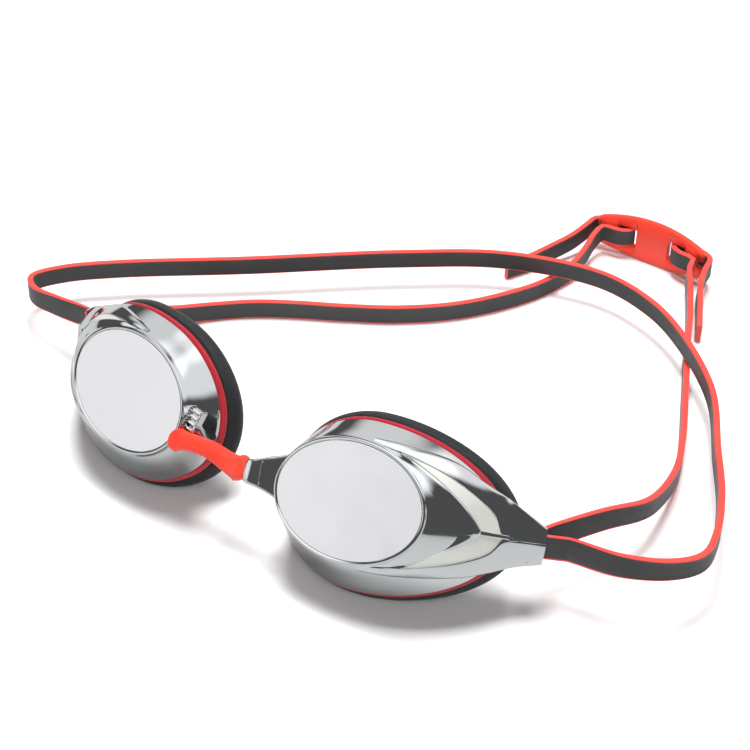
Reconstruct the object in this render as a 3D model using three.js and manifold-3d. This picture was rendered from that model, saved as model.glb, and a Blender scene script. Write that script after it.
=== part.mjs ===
// Swim goggles: two mirrored eyecups joined by a soft nose bridge, with one flat head strap and its clip.
// Millimetres. +X to the wearer's left, -Y forward, +Z up. The goggles lie as they rest on a table.
import * as THREE from "three";
import { mergeVertices } from "three/addons/utils/BufferGeometryUtils.js";
import Module from "manifold-3d";

const wasm = await Module();
wasm.setup();

const DEG = Math.PI / 180;
const GAP = 0.3;          // clearance between pieces that touch
const CUT = 0.12;         // depth that a hollow is cut past the face it follows
const RIM_STEPS = 56;     // facets round an eyecup

// Eyecups: where the lens centre sits and how the cup leans back on the table.
const CUP = { x: 33.1, z: 25.8, leanBack: 31.7 * DEG, wrap: 4.8 * DEG, roll: 7.5 * DEG };
const LENS = { halfWidth: 18, halfHeight: 13.05, thick: 1.6 };
const RIM = { width: 1.3, depth: 0.9 };
// Outline of the soft seal where it is widest, from the lens axis. It is a saddle that follows the face:
// its nose and temple ends lie further back, by saddle at a distance of 30 mm from the axis.
const SEAL = { offset: 0.6, drop: 2.5, nose: 24.6, temple: 32.8, top: 22.0, bottom: 19.7, saddle: 7.5 };
const SHELL = { back: 7.7, inset: 1.8, wall: 1.5, ledge: 1.5 };
const BAND = { front: 8.0, back: 10.0, inset: 0.9, wall: 3.4 };
const GASKET = { front: 10.3, widest: 12.5, back: 16.5, wall: 2.2, pull: 3.4 };

// Strap
const STRAP = { width: 5.4, thick: 1.9, step: 3.5 };
const TURN_STEP = 1.1;    // finer steps where the strap folds back
const LOW = STRAP.width / 2 + 0.05;               // centre height of the run that lies on the table
const HIGH = LOW + STRAP.width + 0.5;             // centre height of the run that crosses over it
const UP = new THREE.Vector3(0, 0, 1);

// Temple arm: bar that the strap turns round, in the cup's own axes (outward, back, up), and the way it faces.
const BAR = { out: 36.6, back: 23.4, radius: 1.2, up: -2.7, swept: 45 * DEG };
const TURN = BAR.radius + GAP + STRAP.thick / 2;  // centre line radius of the strap round the bar

const CLIP = { x: 19.6, y: 165.5, length: 35, height: 13.6, endHeight: 8.4, thick: 2, sag: 2.2 };
const WINDOW = { fromCentre: 8.2, length: 6, height: STRAP.width + 0.8 };

function finish(color, roughness, metalness = 0) {
  return new THREE.MeshStandardMaterial({ color, roughness, metalness });
}

const CHROME = finish(0xc9ccd1, 0.12, 1);
const MIRROR = finish(0xe3e1e5, 0.18, 0.6);
const BAND_RED = finish(0xc23a44, 0.5);
const GASKET_BLACK = finish(0x2b2d30, 0.6);
const BRIDGE_RED = finish(0xff4433, 0.45);
const STRAP_GREY = finish(0x454547, 0.55);

// ---------- geometry helpers ----------

/** Closed body from the given corners and triangles, with its faces turned outward. */
function closedBody(corners, triangles) {
  let volume = 0;
  for (const [a, b, c] of triangles) {
    volume += corners[a].dot(new THREE.Vector3().crossVectors(corners[b], corners[c]));
  }
  const order = volume > 0 ? triangles : triangles.map(([a, b, c]) => [a, c, b]);
  const geometry = new THREE.BufferGeometry().setFromPoints(corners);
  geometry.setIndex(order.flat());
  return geometry;
}

/** Body through rings of corners: a tube with capped ends, or a closed loop. */
function loft(rings, isLoop = false) {
  const count = rings[0].length;
  const corners = rings.flat();
  const triangles = [];
  const spans = isLoop ? rings.length : rings.length - 1;
  for (let i = 0; i < spans; i += 1) {
    const here = i * count;
    const next = ((i + 1) % rings.length) * count;
    for (let j = 0; j < count; j += 1) {
      const k = (j + 1) % count;
      triangles.push([here + j, here + k, next + k], [here + j, next + k, next + j]);
    }
  }
  if (!isLoop) {
    const last = (rings.length - 1) * count;
    for (let j = 1; j < count - 1; j += 1) {
      triangles.push([0, j + 1, j], [last, last + j, last + j + 1]);
    }
  }
  return closedBody(corners, triangles);
}

/** Point between the lens outline and the seal outline, at an angle round the cup. */
function cupPoint(angle, { mix, grow = 0, inset = 0, back }) {
  const c = Math.cos(angle);
  const s = Math.sin(angle);
  const across = (c > 0 ? SEAL.temple : SEAL.nose) - inset;
  const upDown = (s > 0 ? SEAL.top : SEAL.bottom) - inset;
  const lensX = (LENS.halfWidth + grow) * c;
  const lensZ = (LENS.halfHeight + grow) * s;
  const x = THREE.MathUtils.lerp(lensX, SEAL.offset + across * c, mix);
  const z = THREE.MathUtils.lerp(lensZ, upDown * s - SEAL.drop, mix);
  return new THREE.Vector3(x, back + mix * SEAL.saddle * (x / 30) ** 2, z);
}

/** Ring-shaped body round the cup whose section is the given list of outline points. */
function cupRing(section) {
  const rings = [];
  for (let i = 0; i < RIM_STEPS; i += 1) {
    const angle = (i / RIM_STEPS) * 2 * Math.PI;
    rings.push(section.map((point) => cupPoint(angle, point)));
  }
  return loft(rings, true);
}

/** Solid cup whose outline at each level is given by an outline point. */
function cupSolid(levels) {
  return loft(levels.map((level) => {
    const ring = [];
    for (let i = 0; i < RIM_STEPS; i += 1) {
      ring.push(cupPoint((i / RIM_STEPS) * 2 * Math.PI, level));
    }
    return ring;
  }));
}

/** Plate that runs outward: each station is [out, low edge, high edge, front, thickness]. */
function plate(stations) {
  const rings = stations.map(([out, low, high, front, thick]) => [
    new THREE.Vector3(out, front, low),
    new THREE.Vector3(out, front, high),
    new THREE.Vector3(out, front + thick, high),
    new THREE.Vector3(out, front + thick, low),
  ]);
  return loft(rings);
}

/** Bar between an inner and an outer edge: each station is [inner edge, outer edge, thickness]. */
function strut(stations) {
  const edges = stations.map(([inner, outer]) => [new THREE.Vector3(...inner), new THREE.Vector3(...outer)]);
  const rings = stations.map(([, , thick], i) => {
    const [inner, outer] = edges[i];
    const before = edges[Math.max(i - 1, 0)];
    const after = edges[Math.min(i + 1, edges.length - 1)];
    const along = after[0].clone().add(after[1]).sub(before[0]).sub(before[1]).setZ(0).normalize();
    const inward = new THREE.Vector3(-along.y, along.x, 0).multiplyScalar(thick);
    return [inner, outer, outer.clone().add(inward), inner.clone().add(inward)];
  });
  return loft(rings);
}

/** Flat strap along a path. upAt gives the direction of the strap's width at a fraction of the path. */
function ribbon(curve, from, to, upAt, step = STRAP.step) {
  const length = curve.getLength() * (to - from);
  const steps = Math.max(2, Math.round(length / step));
  const rings = [];
  for (let i = 0; i <= steps; i += 1) {
    const at = from + ((to - from) * i) / steps;
    const centre = curve.getPointAt(at);
    const along = curve.getTangentAt(at);
    const side = new THREE.Vector3().crossVectors(along, upAt(at)).normalize();
    const up = new THREE.Vector3().crossVectors(side, along).normalize();
    const corner = (s, u) =>
      centre.clone().addScaledVector(side, (s * STRAP.thick) / 2).addScaledVector(up, (u * STRAP.width) / 2);
    rings.push([corner(-1, -1), corner(1, -1), corner(1, 1), corner(-1, 1)]);
  }
  return loft(rings);
}

function toManifold(geometry) {
  const bare = geometry.clone();
  bare.deleteAttribute("normal");
  bare.deleteAttribute("uv");
  const merged = mergeVertices(bare, 1e-5);
  return new wasm.Manifold(new wasm.Mesh({
    numProp: 3,
    vertProperties: new Float32Array(merged.attributes.position.array),
    triVerts: new Uint32Array(merged.index.array),
  }));
}

function fromManifold(solid) {
  const mesh = solid.getMesh();
  const geometry = new THREE.BufferGeometry();
  geometry.setAttribute("position", new THREE.BufferAttribute(new Float32Array(mesh.vertProperties), 3));
  geometry.setIndex(new THREE.BufferAttribute(new Uint32Array(mesh.triVerts), 1));
  return geometry;
}

function join(geometries) {
  return fromManifold(geometries.map(toManifold).reduce((sum, next) => sum.add(next)));
}

function cut(geometry, tools) {
  return fromManifold(tools.map(toManifold).reduce((rest, tool) => rest.subtract(tool), toManifold(geometry)));
}

function box(size, centre) {
  return new THREE.BoxGeometry(...size).translate(...centre);
}

function mirrored(geometry) {
  const copy = geometry.clone().scale(-1, 1, 1);
  const index = copy.index.array;
  for (let i = 0; i < index.length; i += 3) {
    const swap = index[i];
    index[i] = index[i + 1];
    index[i + 1] = swap;
  }
  return copy;
}

function piece(name, geometry, material) {
  geometry.computeVertexNormals();
  const mesh = new THREE.Mesh(geometry, material);
  mesh.name = name;
  return mesh;
}

// ---------- eyecup, in its own axes: +X outward, +Y back, +Z up, lens centre at the origin ----------

function lensPlate() {
  return cupSolid([
    { mix: 0, grow: -0.3, back: 0 },
    { mix: 0, grow: 0, back: 0.3 },
    { mix: 0, grow: 0, back: LENS.thick },
  ]);
}

function shellWall() {
  const edge = RIM.width;
  const ledge = LENS.thick + GAP;
  return cupRing([
    { mix: 0, grow: GAP, back: 0.4 },
    { mix: 0, grow: edge, back: RIM.depth },
    { mix: 0.5, grow: edge, inset: SHELL.inset, back: 4.4 },
    { mix: 1, inset: SHELL.inset, back: SHELL.back - 0.8 },
    { mix: 1, inset: SHELL.inset, back: SHELL.back },
    { mix: 1, inset: SHELL.inset + SHELL.wall, back: SHELL.back },
    { mix: 0.5, grow: -SHELL.ledge, inset: SHELL.inset + SHELL.wall, back: 6.0 },
    { mix: 0, grow: -SHELL.ledge, back: ledge + 1.5 },
    { mix: 0, grow: -SHELL.ledge, back: ledge },
    { mix: 0, grow: GAP, back: ledge },
  ]);
}

/** The two struts, the raised wing between them and the arm end, all swept back to the strap bar. */
function templeArm() {
  const upperStrut = strut([
    [[3.0, 0.9, 12.9], [3.2, 1.5, 14.7], 2.4],
    [[9.9, 1.1, 13.1], [9.6, 2.5, 14.6], 2.6],
    [[16.2, 3.3, 11.5], [15.6, 5.4, 13.9], 2.6],
    [[21.5, 6.0, 9.3], [21.0, 8.6, 12.5], 2.6],
    [[26.6, 9.5, 5.9], [26.3, 11.5, 9.6], 2.4],
    [[30.0, 12.3, 2.7], [30.6, 14.2, 7.3], 1.9],
    [[32.2, 13.6, -1.9], [32.8, 15.2, 6.1], 1.5],
    [[35.5, 15.6, -1.9], [35.2, 16.9, 4.6], 1.5],
    [[39.8, 19.1, -1.9], [39.0, 19.7, 1.5], 1.5],
  ]);
  const lowerStrut = strut([
    [[0.0, 0.9, -13.2], [0.3, 1.5, -14.8], 2.4],
    [[10.1, 1.0, -12.6], [9.8, 2.2, -14.5], 2.6],
    [[18.3, 3.4, -10.9], [18.1, 5.7, -13.5], 2.6],
    [[25.4, 7.6, -8.3], [25.6, 10.0, -11.9], 2.4],
    [[30.3, 11.6, -5.2], [30.2, 13.0, -10.3], 1.9],
    [[32.5, 13.6, -1.5], [33.2, 14.7, -9.1], 1.5],
    [[35.5, 15.6, -1.5], [35.8, 16.2, -8.0], 1.5],
    [[39.8, 19.1, -1.5], [39.5, 19.2, -6.6], 1.5],
  ]);
  const wing = strut([
    [[9.0, 0.6, -13.0], [10.6, 0.8, 12.6], 2.6],
    [[14.5, 1.4, -11.6], [16.9, 1.9, 9.7], 2.6],
    [[20.3, 2.8, -8.0], [21.8, 3.7, 6.6], 2.4],
    [[24.6, 5.2, -4.9], [25.1, 5.8, 3.5], 2.2],
    [[28.0, 8.2, -1.7], [27.9, 8.2, -0.4], 2.0],
    [[33.2, 14.1, -1.9], [33.2, 14.1, -1.0], 1.4],
  ]);
  return [upperStrut, lowerStrut, wing];
}

/** A point by the bar: along the way the arm end faces, and inward from it. */
function byBar(along, inward, up) {
  const c = Math.cos(BAR.swept);
  const s = Math.sin(BAR.swept);
  return [BAR.out + along * c - inward * s, BAR.back + along * s + inward * c, BAR.up + up];
}

/** Cheeks above and below the strap that hold the bar behind the arm end. */
function strapHolder() {
  const halfSlot = STRAP.width / 2 + GAP;
  const outline = [
    [-3.6, -4.9], [0.4, -4.9], [1.5, -3.4], [1.6, 0.8],
    [0.8, 1.6], [-0.8, 1.6], [-1.6, 0.8], [-3.6, -3.0],
  ];
  const cheek = (low, high) => loft([low, high].map((up) =>
    outline.map(([along, inward]) => new THREE.Vector3(...byBar(along, inward, up)))));
  const bar = new THREE.CylinderGeometry(BAR.radius, BAR.radius, 2 * halfSlot + 1, 16)
    .rotateX(Math.PI / 2)
    .translate(BAR.out, BAR.back, BAR.up);
  return [cheek(halfSlot, halfSlot + 1), cheek(-halfSlot - 1, -halfSlot), bar];
}

/** Nasal arm with the row of ribs that the bridge sleeve grips. */
function noseArm() {
  const arm = plate([
    [-17.6, -4.8, 5.0, 1.9, 2.6],
    [-21.5, -3.2, 4.6, 2.6, 2.4],
    [-25.0, -2.4, 3.2, 3.2, 2.0],
    [-30.6, -2.2, 2.4, 3.7, 2.0],
  ]);
  const ribs = [0, 1, 2].map((i) => box([0.6, 2.6, 5.2], [-22.6 - 1.5 * i, 3.9 + 0.2 * i, 0.3]));
  return [arm, ...ribs];
}

function frameShell() {
  const lensRoom = cupSolid([
    { mix: 0, grow: GAP + CUT, back: -2 },
    { mix: 0, grow: GAP + CUT, back: LENS.thick + GAP + CUT },
  ]);
  const solid = join([shellWall(), ...templeArm(), ...strapHolder(), ...noseArm()]);
  return cut(solid, [lensRoom, cupRoom(), sealRoom()]);
}

/** The space behind the shell that the band and the gasket take, with a gap round it. */
function sealRoom() {
  const inner = BAND.inset + BAND.wall + GASKET.wall;
  return cupRing([
    { mix: 1, inset: BAND.inset - GAP, back: SHELL.back + CUT },
    { mix: 1, inset: BAND.inset - GAP, back: BAND.back },
    { mix: 1, inset: -GAP, back: GASKET.widest },
    { mix: 1, inset: GASKET.pull - GAP, back: GASKET.back + 2 * GAP },
    { mix: 1, inset: inner, back: GASKET.back + 2 * GAP },
    { mix: 1, inset: inner, back: SHELL.back + CUT },
  ]);
}

/** The hollow of the cup behind the lens, cut a little into the wall so that nothing is left inside. */
function cupRoom() {
  const inner = SHELL.inset + SHELL.wall - CUT;
  return cupSolid([
    { mix: 0, grow: CUT - SHELL.ledge, back: LENS.thick },
    { mix: 0, grow: CUT - SHELL.ledge, back: LENS.thick + GAP + 1.5 },
    { mix: 0.5, grow: CUT - SHELL.ledge, inset: inner, back: 6.0 },
    { mix: 1, inset: inner, back: SHELL.back },
    { mix: 1, inset: inner, back: SHELL.back + 4 },
  ]);
}

/** The space that the shell's outside takes, with a gap round it. */
function cupClearance() {
  return cupSolid([
    { mix: 0, grow: RIM.width + GAP, back: -GAP },
    { mix: 0, grow: RIM.width + GAP, back: RIM.depth },
    { mix: 0.5, grow: RIM.width + GAP, inset: SHELL.inset - GAP, back: 4.4 - GAP },
    { mix: 1, inset: SHELL.inset - GAP, back: SHELL.back - 1.2 },
    { mix: 1, inset: SHELL.inset - GAP, back: SHELL.back + 4 },
  ]);
}

function sealBand() {
  const inner = BAND.inset + BAND.wall;
  return cupRing([
    { mix: 1, inset: BAND.inset + 0.3, back: BAND.front },
    { mix: 1, inset: BAND.inset, back: (BAND.front + BAND.back) / 2 },
    { mix: 1, inset: BAND.inset + 0.2, back: BAND.back },
    { mix: 1, inset: inner, back: BAND.back },
    { mix: 1, inset: inner, back: BAND.front },
  ]);
}

function faceGasket() {
  const { front, widest, back, wall, pull } = GASKET;
  return cupRing([
    { mix: 1, inset: 0.7, back: front },
    { mix: 1, inset: 0, back: widest },
    { mix: 1, inset: 0.9, back: widest + 1.8 },
    { mix: 1, inset: pull, back },
    { mix: 1, inset: pull + wall, back },
    { mix: 1, inset: pull + wall - 0.6, back: widest + 1.2 },
    { mix: 1, inset: 0.7 + 2 * wall, back: front },
  ]);
}

const STRAIGHT = 1.6;     // the strap runs straight this far past the bar before it bends
const TURN_END = 4.2;     // and the stretch that is fixed to the bar ends here
const LEG_START = 4.5;    // the two legs of the strap begin here
const BACK_LEG_UP = 1.75; // height at which the back leg begins
const LEG_RISE = 0.5;     // how the back leg climbs past the front one

/** Path of the strap round its bar, front leg first. */
function turnPath() {
  const points = [byBar(TURN_END, -TURN, 0), byBar(STRAIGHT, -TURN, 0)];
  for (let i = 0; i <= 6; i += 1) {
    const angle = (90 + 30 * i) * DEG;
    points.push(byBar(TURN * Math.cos(angle), -TURN * Math.sin(angle), 0));
  }
  points.push(byBar(STRAIGHT, TURN, 0.3), byBar(TURN_END, TURN, BACK_LEG_UP - 0.15));
  return new THREE.CatmullRomCurve3(points.map((p) => new THREE.Vector3(...p)), false, "centripetal");
}

function strapTurn() {
  return ribbon(turnPath(), 0, 1, () => UP, TURN_STEP);
}

const EYECUP_PIECES = [
  ["frame", frameShell(), CHROME],
  ["lens", lensPlate(), MIRROR],
  ["seal_band", sealBand(), BAND_RED],
  ["gasket", faceGasket(), GASKET_BLACK],
  ["strap_turn", strapTurn(), STRAP_GREY],
];

function eyecup(sideName, side) {
  const group = new THREE.Group();
  group.position.set(side * CUP.x, 0, CUP.z);
  group.rotation.set(-CUP.leanBack, -side * CUP.roll, side * CUP.wrap, "ZXY");
  for (const [name, geometry, material] of EYECUP_PIECES) {
    group.add(piece(`${sideName}_${name}`, side > 0 ? geometry.clone() : mirrored(geometry), material));
  }
  group.updateMatrixWorld(true);
  return group;
}

/** A point or direction of an eyecup's own axes, seen from the goggles. */
function onCup(group, side, [out, back, up]) {
  return group.localToWorld(new THREE.Vector3(side * out, back, up));
}

// ---------- nose bridge ----------

/** Soft bridge: a tongue over the left lens rim, a sleeve on each nasal arm and a waist between them. */
function noseBridge(leftCup, rightCup) {
  const onLeft = (...point) => onCup(leftCup, -1, point);
  const onRight = (...point) => onCup(rightCup, 1, point);
  const along = new THREE.Vector3(1, 0, 0);
  const upward = onRight(0, 0, 1).sub(onRight(0, 0, 0)).setX(0).normalize();
  const across = new THREE.Vector3().crossVectors(upward, along).normalize();
  const squared = (value) => Math.sign(value) * Math.abs(value) ** 0.6;
  const section = (centre, high, deep) => {
    const ring = [];
    for (let i = 0; i < 16; i += 1) {
      const angle = (i / 16) * 2 * Math.PI;
      ring.push(centre.clone()
        .addScaledVector(upward, (high / 2) * squared(Math.sin(angle)))
        .addScaledVector(across, (deep / 2) * squared(Math.cos(angle))));
    }
    return ring;
  };
  const body = loft([
    section(onLeft(-18.4, -0.6, -2.7), 5.2, 1.0),
    section(onLeft(-19.9, 0.3, -2.3), 5.6, 2.4),
    section(onLeft(-22.6, 2.0, -1.0), 6.4, 4.4),
    section(onLeft(-27.0, 3.8, 0.1), 7.2, 4.8),
    section(new THREE.Vector3(-2.2, 0.6, 19.3), 6.8, 4.6),
    section(new THREE.Vector3(1.2, 0.4, 19.3), 7.2, 4.6),
    section(onRight(-29.0, 4.4, 0.4), 7.6, 4.8),
    section(onRight(-26.8, 4.2, 0.5), 7.2, 4.6),
  ]);
  const inPlace = (geometry, group, side) => {
    const turned = side > 0 ? geometry : mirrored(geometry);
    return turned.applyMatrix4(group.matrixWorld);
  };
  const armRoom = () => plate([
    [-17.0, -5.3, 5.5, 1.3, 4.0],
    [-21.2, -3.7, 5.1, 2.1, 4.4],
    [-25.0, -2.9, 3.7, 2.6, 4.0],
    [-30.6 - GAP, -2.7, 2.9, 3.2, 3.0],
  ]);
  return cut(body, [
    inPlace(armRoom(), leftCup, -1),
    inPlace(armRoom(), rightCup, 1),
    inPlace(cupClearance(), leftCup, -1),
    inPlace(cupClearance(), rightCup, 1),
  ]);
}

// ---------- head strap and clip ----------

const vector = ([x, y, z]) => new THREE.Vector3(x, y, z);
const routeThrough = (points) => new THREE.CatmullRomCurve3(points, false, "centripetal");

/** Width direction of a strap run: along the cup at its start, upright further on. */
function twisting(startUp, endUp, length, twistLength = 34) {
  return (fraction) => {
    const fromStart = THREE.MathUtils.smoothstep(fraction * length, 0, twistLength);
    const fromEnd = THREE.MathUtils.smoothstep((1 - fraction) * length, 0, twistLength);
    const up = startUp.clone().lerp(UP, fromStart);
    return endUp ? up.lerp(endUp, 1 - fromEnd) : up;
  };
}

/** Fraction of the route where it first passes the line y = limit, going from its start or its end. */
function fractionAtDepth(curve, limit, fromEnd = false) {
  const steps = 400;
  for (let i = 0; i <= steps; i += 1) {
    const fraction = fromEnd ? 1 - i / steps : i / steps;
    if (curve.getPointAt(fraction).y > limit) {
      return fraction;
    }
  }
  return fromEnd ? 0 : 1;
}

const HINGE_Y = 45;       // the strap lifts about a line here
const SOFT = 7;           // the strap bends this far before and behind it, and lifts as one further back
const cupUp = (group) => new THREE.Vector3(0, 0, 1).transformDirection(group.matrixWorld);

/** The upper run, round the back of the head. */
const UPPER = [
  [-87.5, 28.5, 12.6], [-98.4, 30.4, 10.8], [-105, 36.4, 9.2], [-102, 45, HIGH], [-92, 56, HIGH],
  [-64, 80.5, HIGH], [-32, 110, HIGH], [-8, 128, HIGH], [18.5, 136, HIGH], [37, 132, HIGH],
  [52, 122.5, HIGH], [69, 106, HIGH], [82, 84, HIGH + 0.6], [91.3, 67.5, 10.6], [97.5, 52.3, 12.4],
  [98.9, 43.2, 13.4], [95.2, 36.2, 14.2], [86.1, 29.8, 14.8],
];
const REAR_SPLIT = 0.53;  // share of the upper run where its left and right stretches meet

function upperStrap(leftCup, rightCup) {
  const leg = (group, side, on) => onCup(group, side, byBar(LEG_START + on, -TURN, 0));
  const points = [
    leg(leftCup, -1, 0),
    leg(leftCup, -1, 2),
    ...UPPER.map(vector),
    leg(rightCup, 1, 2),
    leg(rightCup, 1, 0),
  ];
  const curve = routeThrough(points);
  const up = twisting(cupUp(leftCup), cupUp(rightCup), curve.getLength());
  const start = fractionAtDepth(curve, HINGE_Y + SOFT);
  const end = fractionAtDepth(curve, HINGE_Y + SOFT, true);
  const half = GAP / 2 / curve.getLength();
  return [
    piece("strap_upper_left_side", ribbon(curve, 0, start - half, up), STRAP_GREY),
    piece("strap_upper_rear_left", ribbon(curve, start + half, REAR_SPLIT - half, up), STRAP_GREY),
    piece("strap_upper_rear_right", ribbon(curve, REAR_SPLIT + half, end - half, up), STRAP_GREY),
    piece("strap_upper_right_side", ribbon(curve, end + half, 1, up), STRAP_GREY),
  ];
}

/** Distance back of the curved clip's middle surface at x. */
const clipBack = (x) => CLIP.y - CLIP.sag * ((2 * (x - CLIP.x)) / CLIP.length) ** 2;
const CLIP_MIDDLE = CLIP.height / 2;

function strapClip() {
  const steps = 24;
  const rings = [];
  for (let i = 0; i <= steps; i += 1) {
    const t = (2 * i) / steps - 1;
    const x = CLIP.x + (t * CLIP.length) / 2;
    const half = (CLIP.height - (CLIP.height - CLIP.endHeight) * t * t) / 2;
    const y = clipBack(x);
    rings.push([
      new THREE.Vector3(x, y - CLIP.thick / 2, CLIP_MIDDLE - half),
      new THREE.Vector3(x, y - CLIP.thick / 2, CLIP_MIDDLE + half),
      new THREE.Vector3(x, y + CLIP.thick / 2, CLIP_MIDDLE + half),
      new THREE.Vector3(x, y + CLIP.thick / 2, CLIP_MIDDLE - half),
    ]);
  }
  const windows = [-1, 1].map((side) =>
    box([WINDOW.length, 12, WINDOW.height], [CLIP.x + side * WINDOW.fromCentre, CLIP.y, CLIP_MIDDLE]));
  return cut(loft(rings), windows);
}

/** Points of the strap in front of the clip, through its window and back round the end of the clip. */
function clipTurn(side) {
  const reach = CLIP.thick / 2 + 2 * GAP + STRAP.thick / 2;
  const turnX = CLIP.x + side * (WINDOW.fromCentre - WINDOW.length / 2 + 1.5);
  const overX = CLIP.x + side * (WINDOW.fromCentre + 3.5);
  const endX = CLIP.x + (side * CLIP.length) / 2;
  const at = (x, offset) => new THREE.Vector3(x, clipBack(x) + offset, CLIP_MIDDLE);
  return [
    at(endX - side * 2.7, 0.1 - reach),
    at(overX, -reach),
    at(turnX + side * 2.2, 0.2 - reach),
    at(turnX, 0),
    at(turnX + side * 2.2, reach - 0.2),
    at(overX, reach),
    at(endX - side * 0.6, reach),
    at(endX + side * 1.6, reach - 1.4),
  ];
}

/** Fraction of the curve that is nearest to a point. */
function fractionNear(curve, point) {
  let best = 0;
  const steps = 1200;
  for (let i = 0; i <= steps; i += 1) {
    if (curve.getPointAt(i / steps).distanceTo(point) < curve.getPointAt(best).distanceTo(point)) {
      best = i / steps;
    }
  }
  return best;
}

/** One lower run, from the bar's back leg through the clip to its free tail, in three stretches. */
function lowerStrap(sideName, group, side, route, tail) {
  const leg = (on) => onCup(group, side, byBar(LEG_START + on, TURN, BACK_LEG_UP + LEG_RISE * on));
  const turn = clipTurn(side);
  const curve = routeThrough([leg(0), leg(2), ...route.map(vector), ...turn, ...tail.map(vector)]);
  const up = twisting(cupUp(group), null, curve.getLength());
  const split = fractionAtDepth(curve, HINGE_Y + SOFT);
  const entry = fractionNear(curve, turn[0]);
  const half = GAP / 2 / curve.getLength();
  return [
    piece(`strap_lower_${sideName}_side`, ribbon(curve, 0, split - half, up), STRAP_GREY),
    piece(`strap_lower_${sideName}_rear`, ribbon(curve, split + half, entry - half, up), STRAP_GREY),
    piece(`strap_${sideName}_end`, ribbon(curve, entry + half, 1, up, TURN_STEP), STRAP_GREY),
  ];
}

const LOWER_LEFT = [
  [-73.2, 38.8, 10], [-72, 46, 6.6], [-68.5, 54, 4], [-62.2, 63.5, LOW], [-54, 71.5, LOW],
  [-44.5, 78.2, LOW], [-34, 84.6, LOW], [-20.5, 94, LOW], [-9.5, 105, LOW], [-1.5, 117.5, LOW],
  [3.8, 130.5, LOW], [5.8, 142, 3.4], [5.3, 150.5, 4.7], [4.3, 157, 6],
];
const LOWER_RIGHT = [
  [74.5, 42.6, 13.4], [78.3, 53.8, 10.5], [78, 63.2, 7.6], [75.5, 76.2, 5], [70.3, 89.5, 3.4],
  [60, 110.5, LOW], [51, 128.5, LOW], [45.2, 140.5, LOW + 0.4], [39.5, 151, 4.6], [35.5, 157.8, 6],
];
const LEFT_TAIL = [[0, 160, 6.3], [-1.3, 154, 5], [-4.2, 146.5, 3.6], [-7, 138.5, LOW], [-9.6, 131.5, LOW]];
const RIGHT_TAIL = [[39.5, 159.5, 6.2], [41.5, 153.2, 4.8], [45.4, 146, 3.4], [50, 137, LOW]];

// ---------- assembly ----------

function goggles() {
  const whole = new THREE.Group();
  const left = eyecup("left", -1);
  const right = eyecup("right", 1);
  whole.add(left, right);
  whole.add(piece("nose_bridge", noseBridge(left, right), BRIDGE_RED));
  whole.add(...upperStrap(left, right));
  whole.add(...lowerStrap("left", left, -1, LOWER_LEFT, LEFT_TAIL));
  whole.add(...lowerStrap("right", right, 1, LOWER_RIGHT, RIGHT_TAIL));
  whole.add(piece("strap_clip", strapClip(), BRIDGE_RED));
  const extent = new THREE.Box3().setFromObject(whole, true);
  const middle = extent.getCenter(new THREE.Vector3());
  whole.position.set(-middle.x, -middle.y, -extent.min.z);
  return whole;
}

export default goggles();
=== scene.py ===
# Swim goggles: chrome eyecups with mirror lenses, a soft nose bridge, a two-colour head strap and its clip.
import math

import bmesh
import bpy
import numpy as np
from mathutils import Matrix, Quaternion, Vector

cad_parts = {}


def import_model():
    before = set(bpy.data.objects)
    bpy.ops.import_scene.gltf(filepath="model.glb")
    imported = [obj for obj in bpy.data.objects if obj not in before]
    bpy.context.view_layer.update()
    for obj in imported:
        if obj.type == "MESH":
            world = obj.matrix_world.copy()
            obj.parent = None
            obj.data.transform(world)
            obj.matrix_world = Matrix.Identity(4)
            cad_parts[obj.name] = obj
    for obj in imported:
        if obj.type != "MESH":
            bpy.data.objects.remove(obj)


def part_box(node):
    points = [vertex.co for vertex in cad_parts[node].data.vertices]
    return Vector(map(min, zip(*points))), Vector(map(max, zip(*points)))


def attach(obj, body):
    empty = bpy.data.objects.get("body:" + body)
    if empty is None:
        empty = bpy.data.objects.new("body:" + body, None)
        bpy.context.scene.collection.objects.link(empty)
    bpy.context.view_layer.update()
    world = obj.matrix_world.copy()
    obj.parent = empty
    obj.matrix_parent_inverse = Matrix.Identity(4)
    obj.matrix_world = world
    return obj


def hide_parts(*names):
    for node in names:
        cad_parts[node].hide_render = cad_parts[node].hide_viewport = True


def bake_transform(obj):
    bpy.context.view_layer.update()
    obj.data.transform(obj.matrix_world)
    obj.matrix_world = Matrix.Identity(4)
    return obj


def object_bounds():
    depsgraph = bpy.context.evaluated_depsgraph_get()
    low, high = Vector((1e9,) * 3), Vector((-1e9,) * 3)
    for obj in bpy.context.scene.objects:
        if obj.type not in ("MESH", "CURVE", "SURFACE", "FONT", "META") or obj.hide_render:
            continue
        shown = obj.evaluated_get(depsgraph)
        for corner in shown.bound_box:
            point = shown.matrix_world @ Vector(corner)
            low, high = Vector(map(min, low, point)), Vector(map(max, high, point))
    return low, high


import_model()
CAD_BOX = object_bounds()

MM = 0.001
RIM_STEPS = 128           # facets round an eyecup

# Eyecups, in millimetres, as the CAD has them
CUP = {"x": 33.1, "z": 25.8, "lean": 31.7, "wrap": 4.8, "roll": 7.5}
LENS = {"half_width": 18.0, "half_height": 13.05, "thick": 1.6, "dome": 0.14}
SEAL = {"offset": 0.6, "drop": 2.5, "nose": 24.6, "temple": 32.8, "top": 22.0, "bottom": 19.7, "saddle": 7.5}
GAP = 0.3                 # clearance between parts in the CAD
SIDES = {"left": -1, "right": 1}   # sign of X

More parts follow.
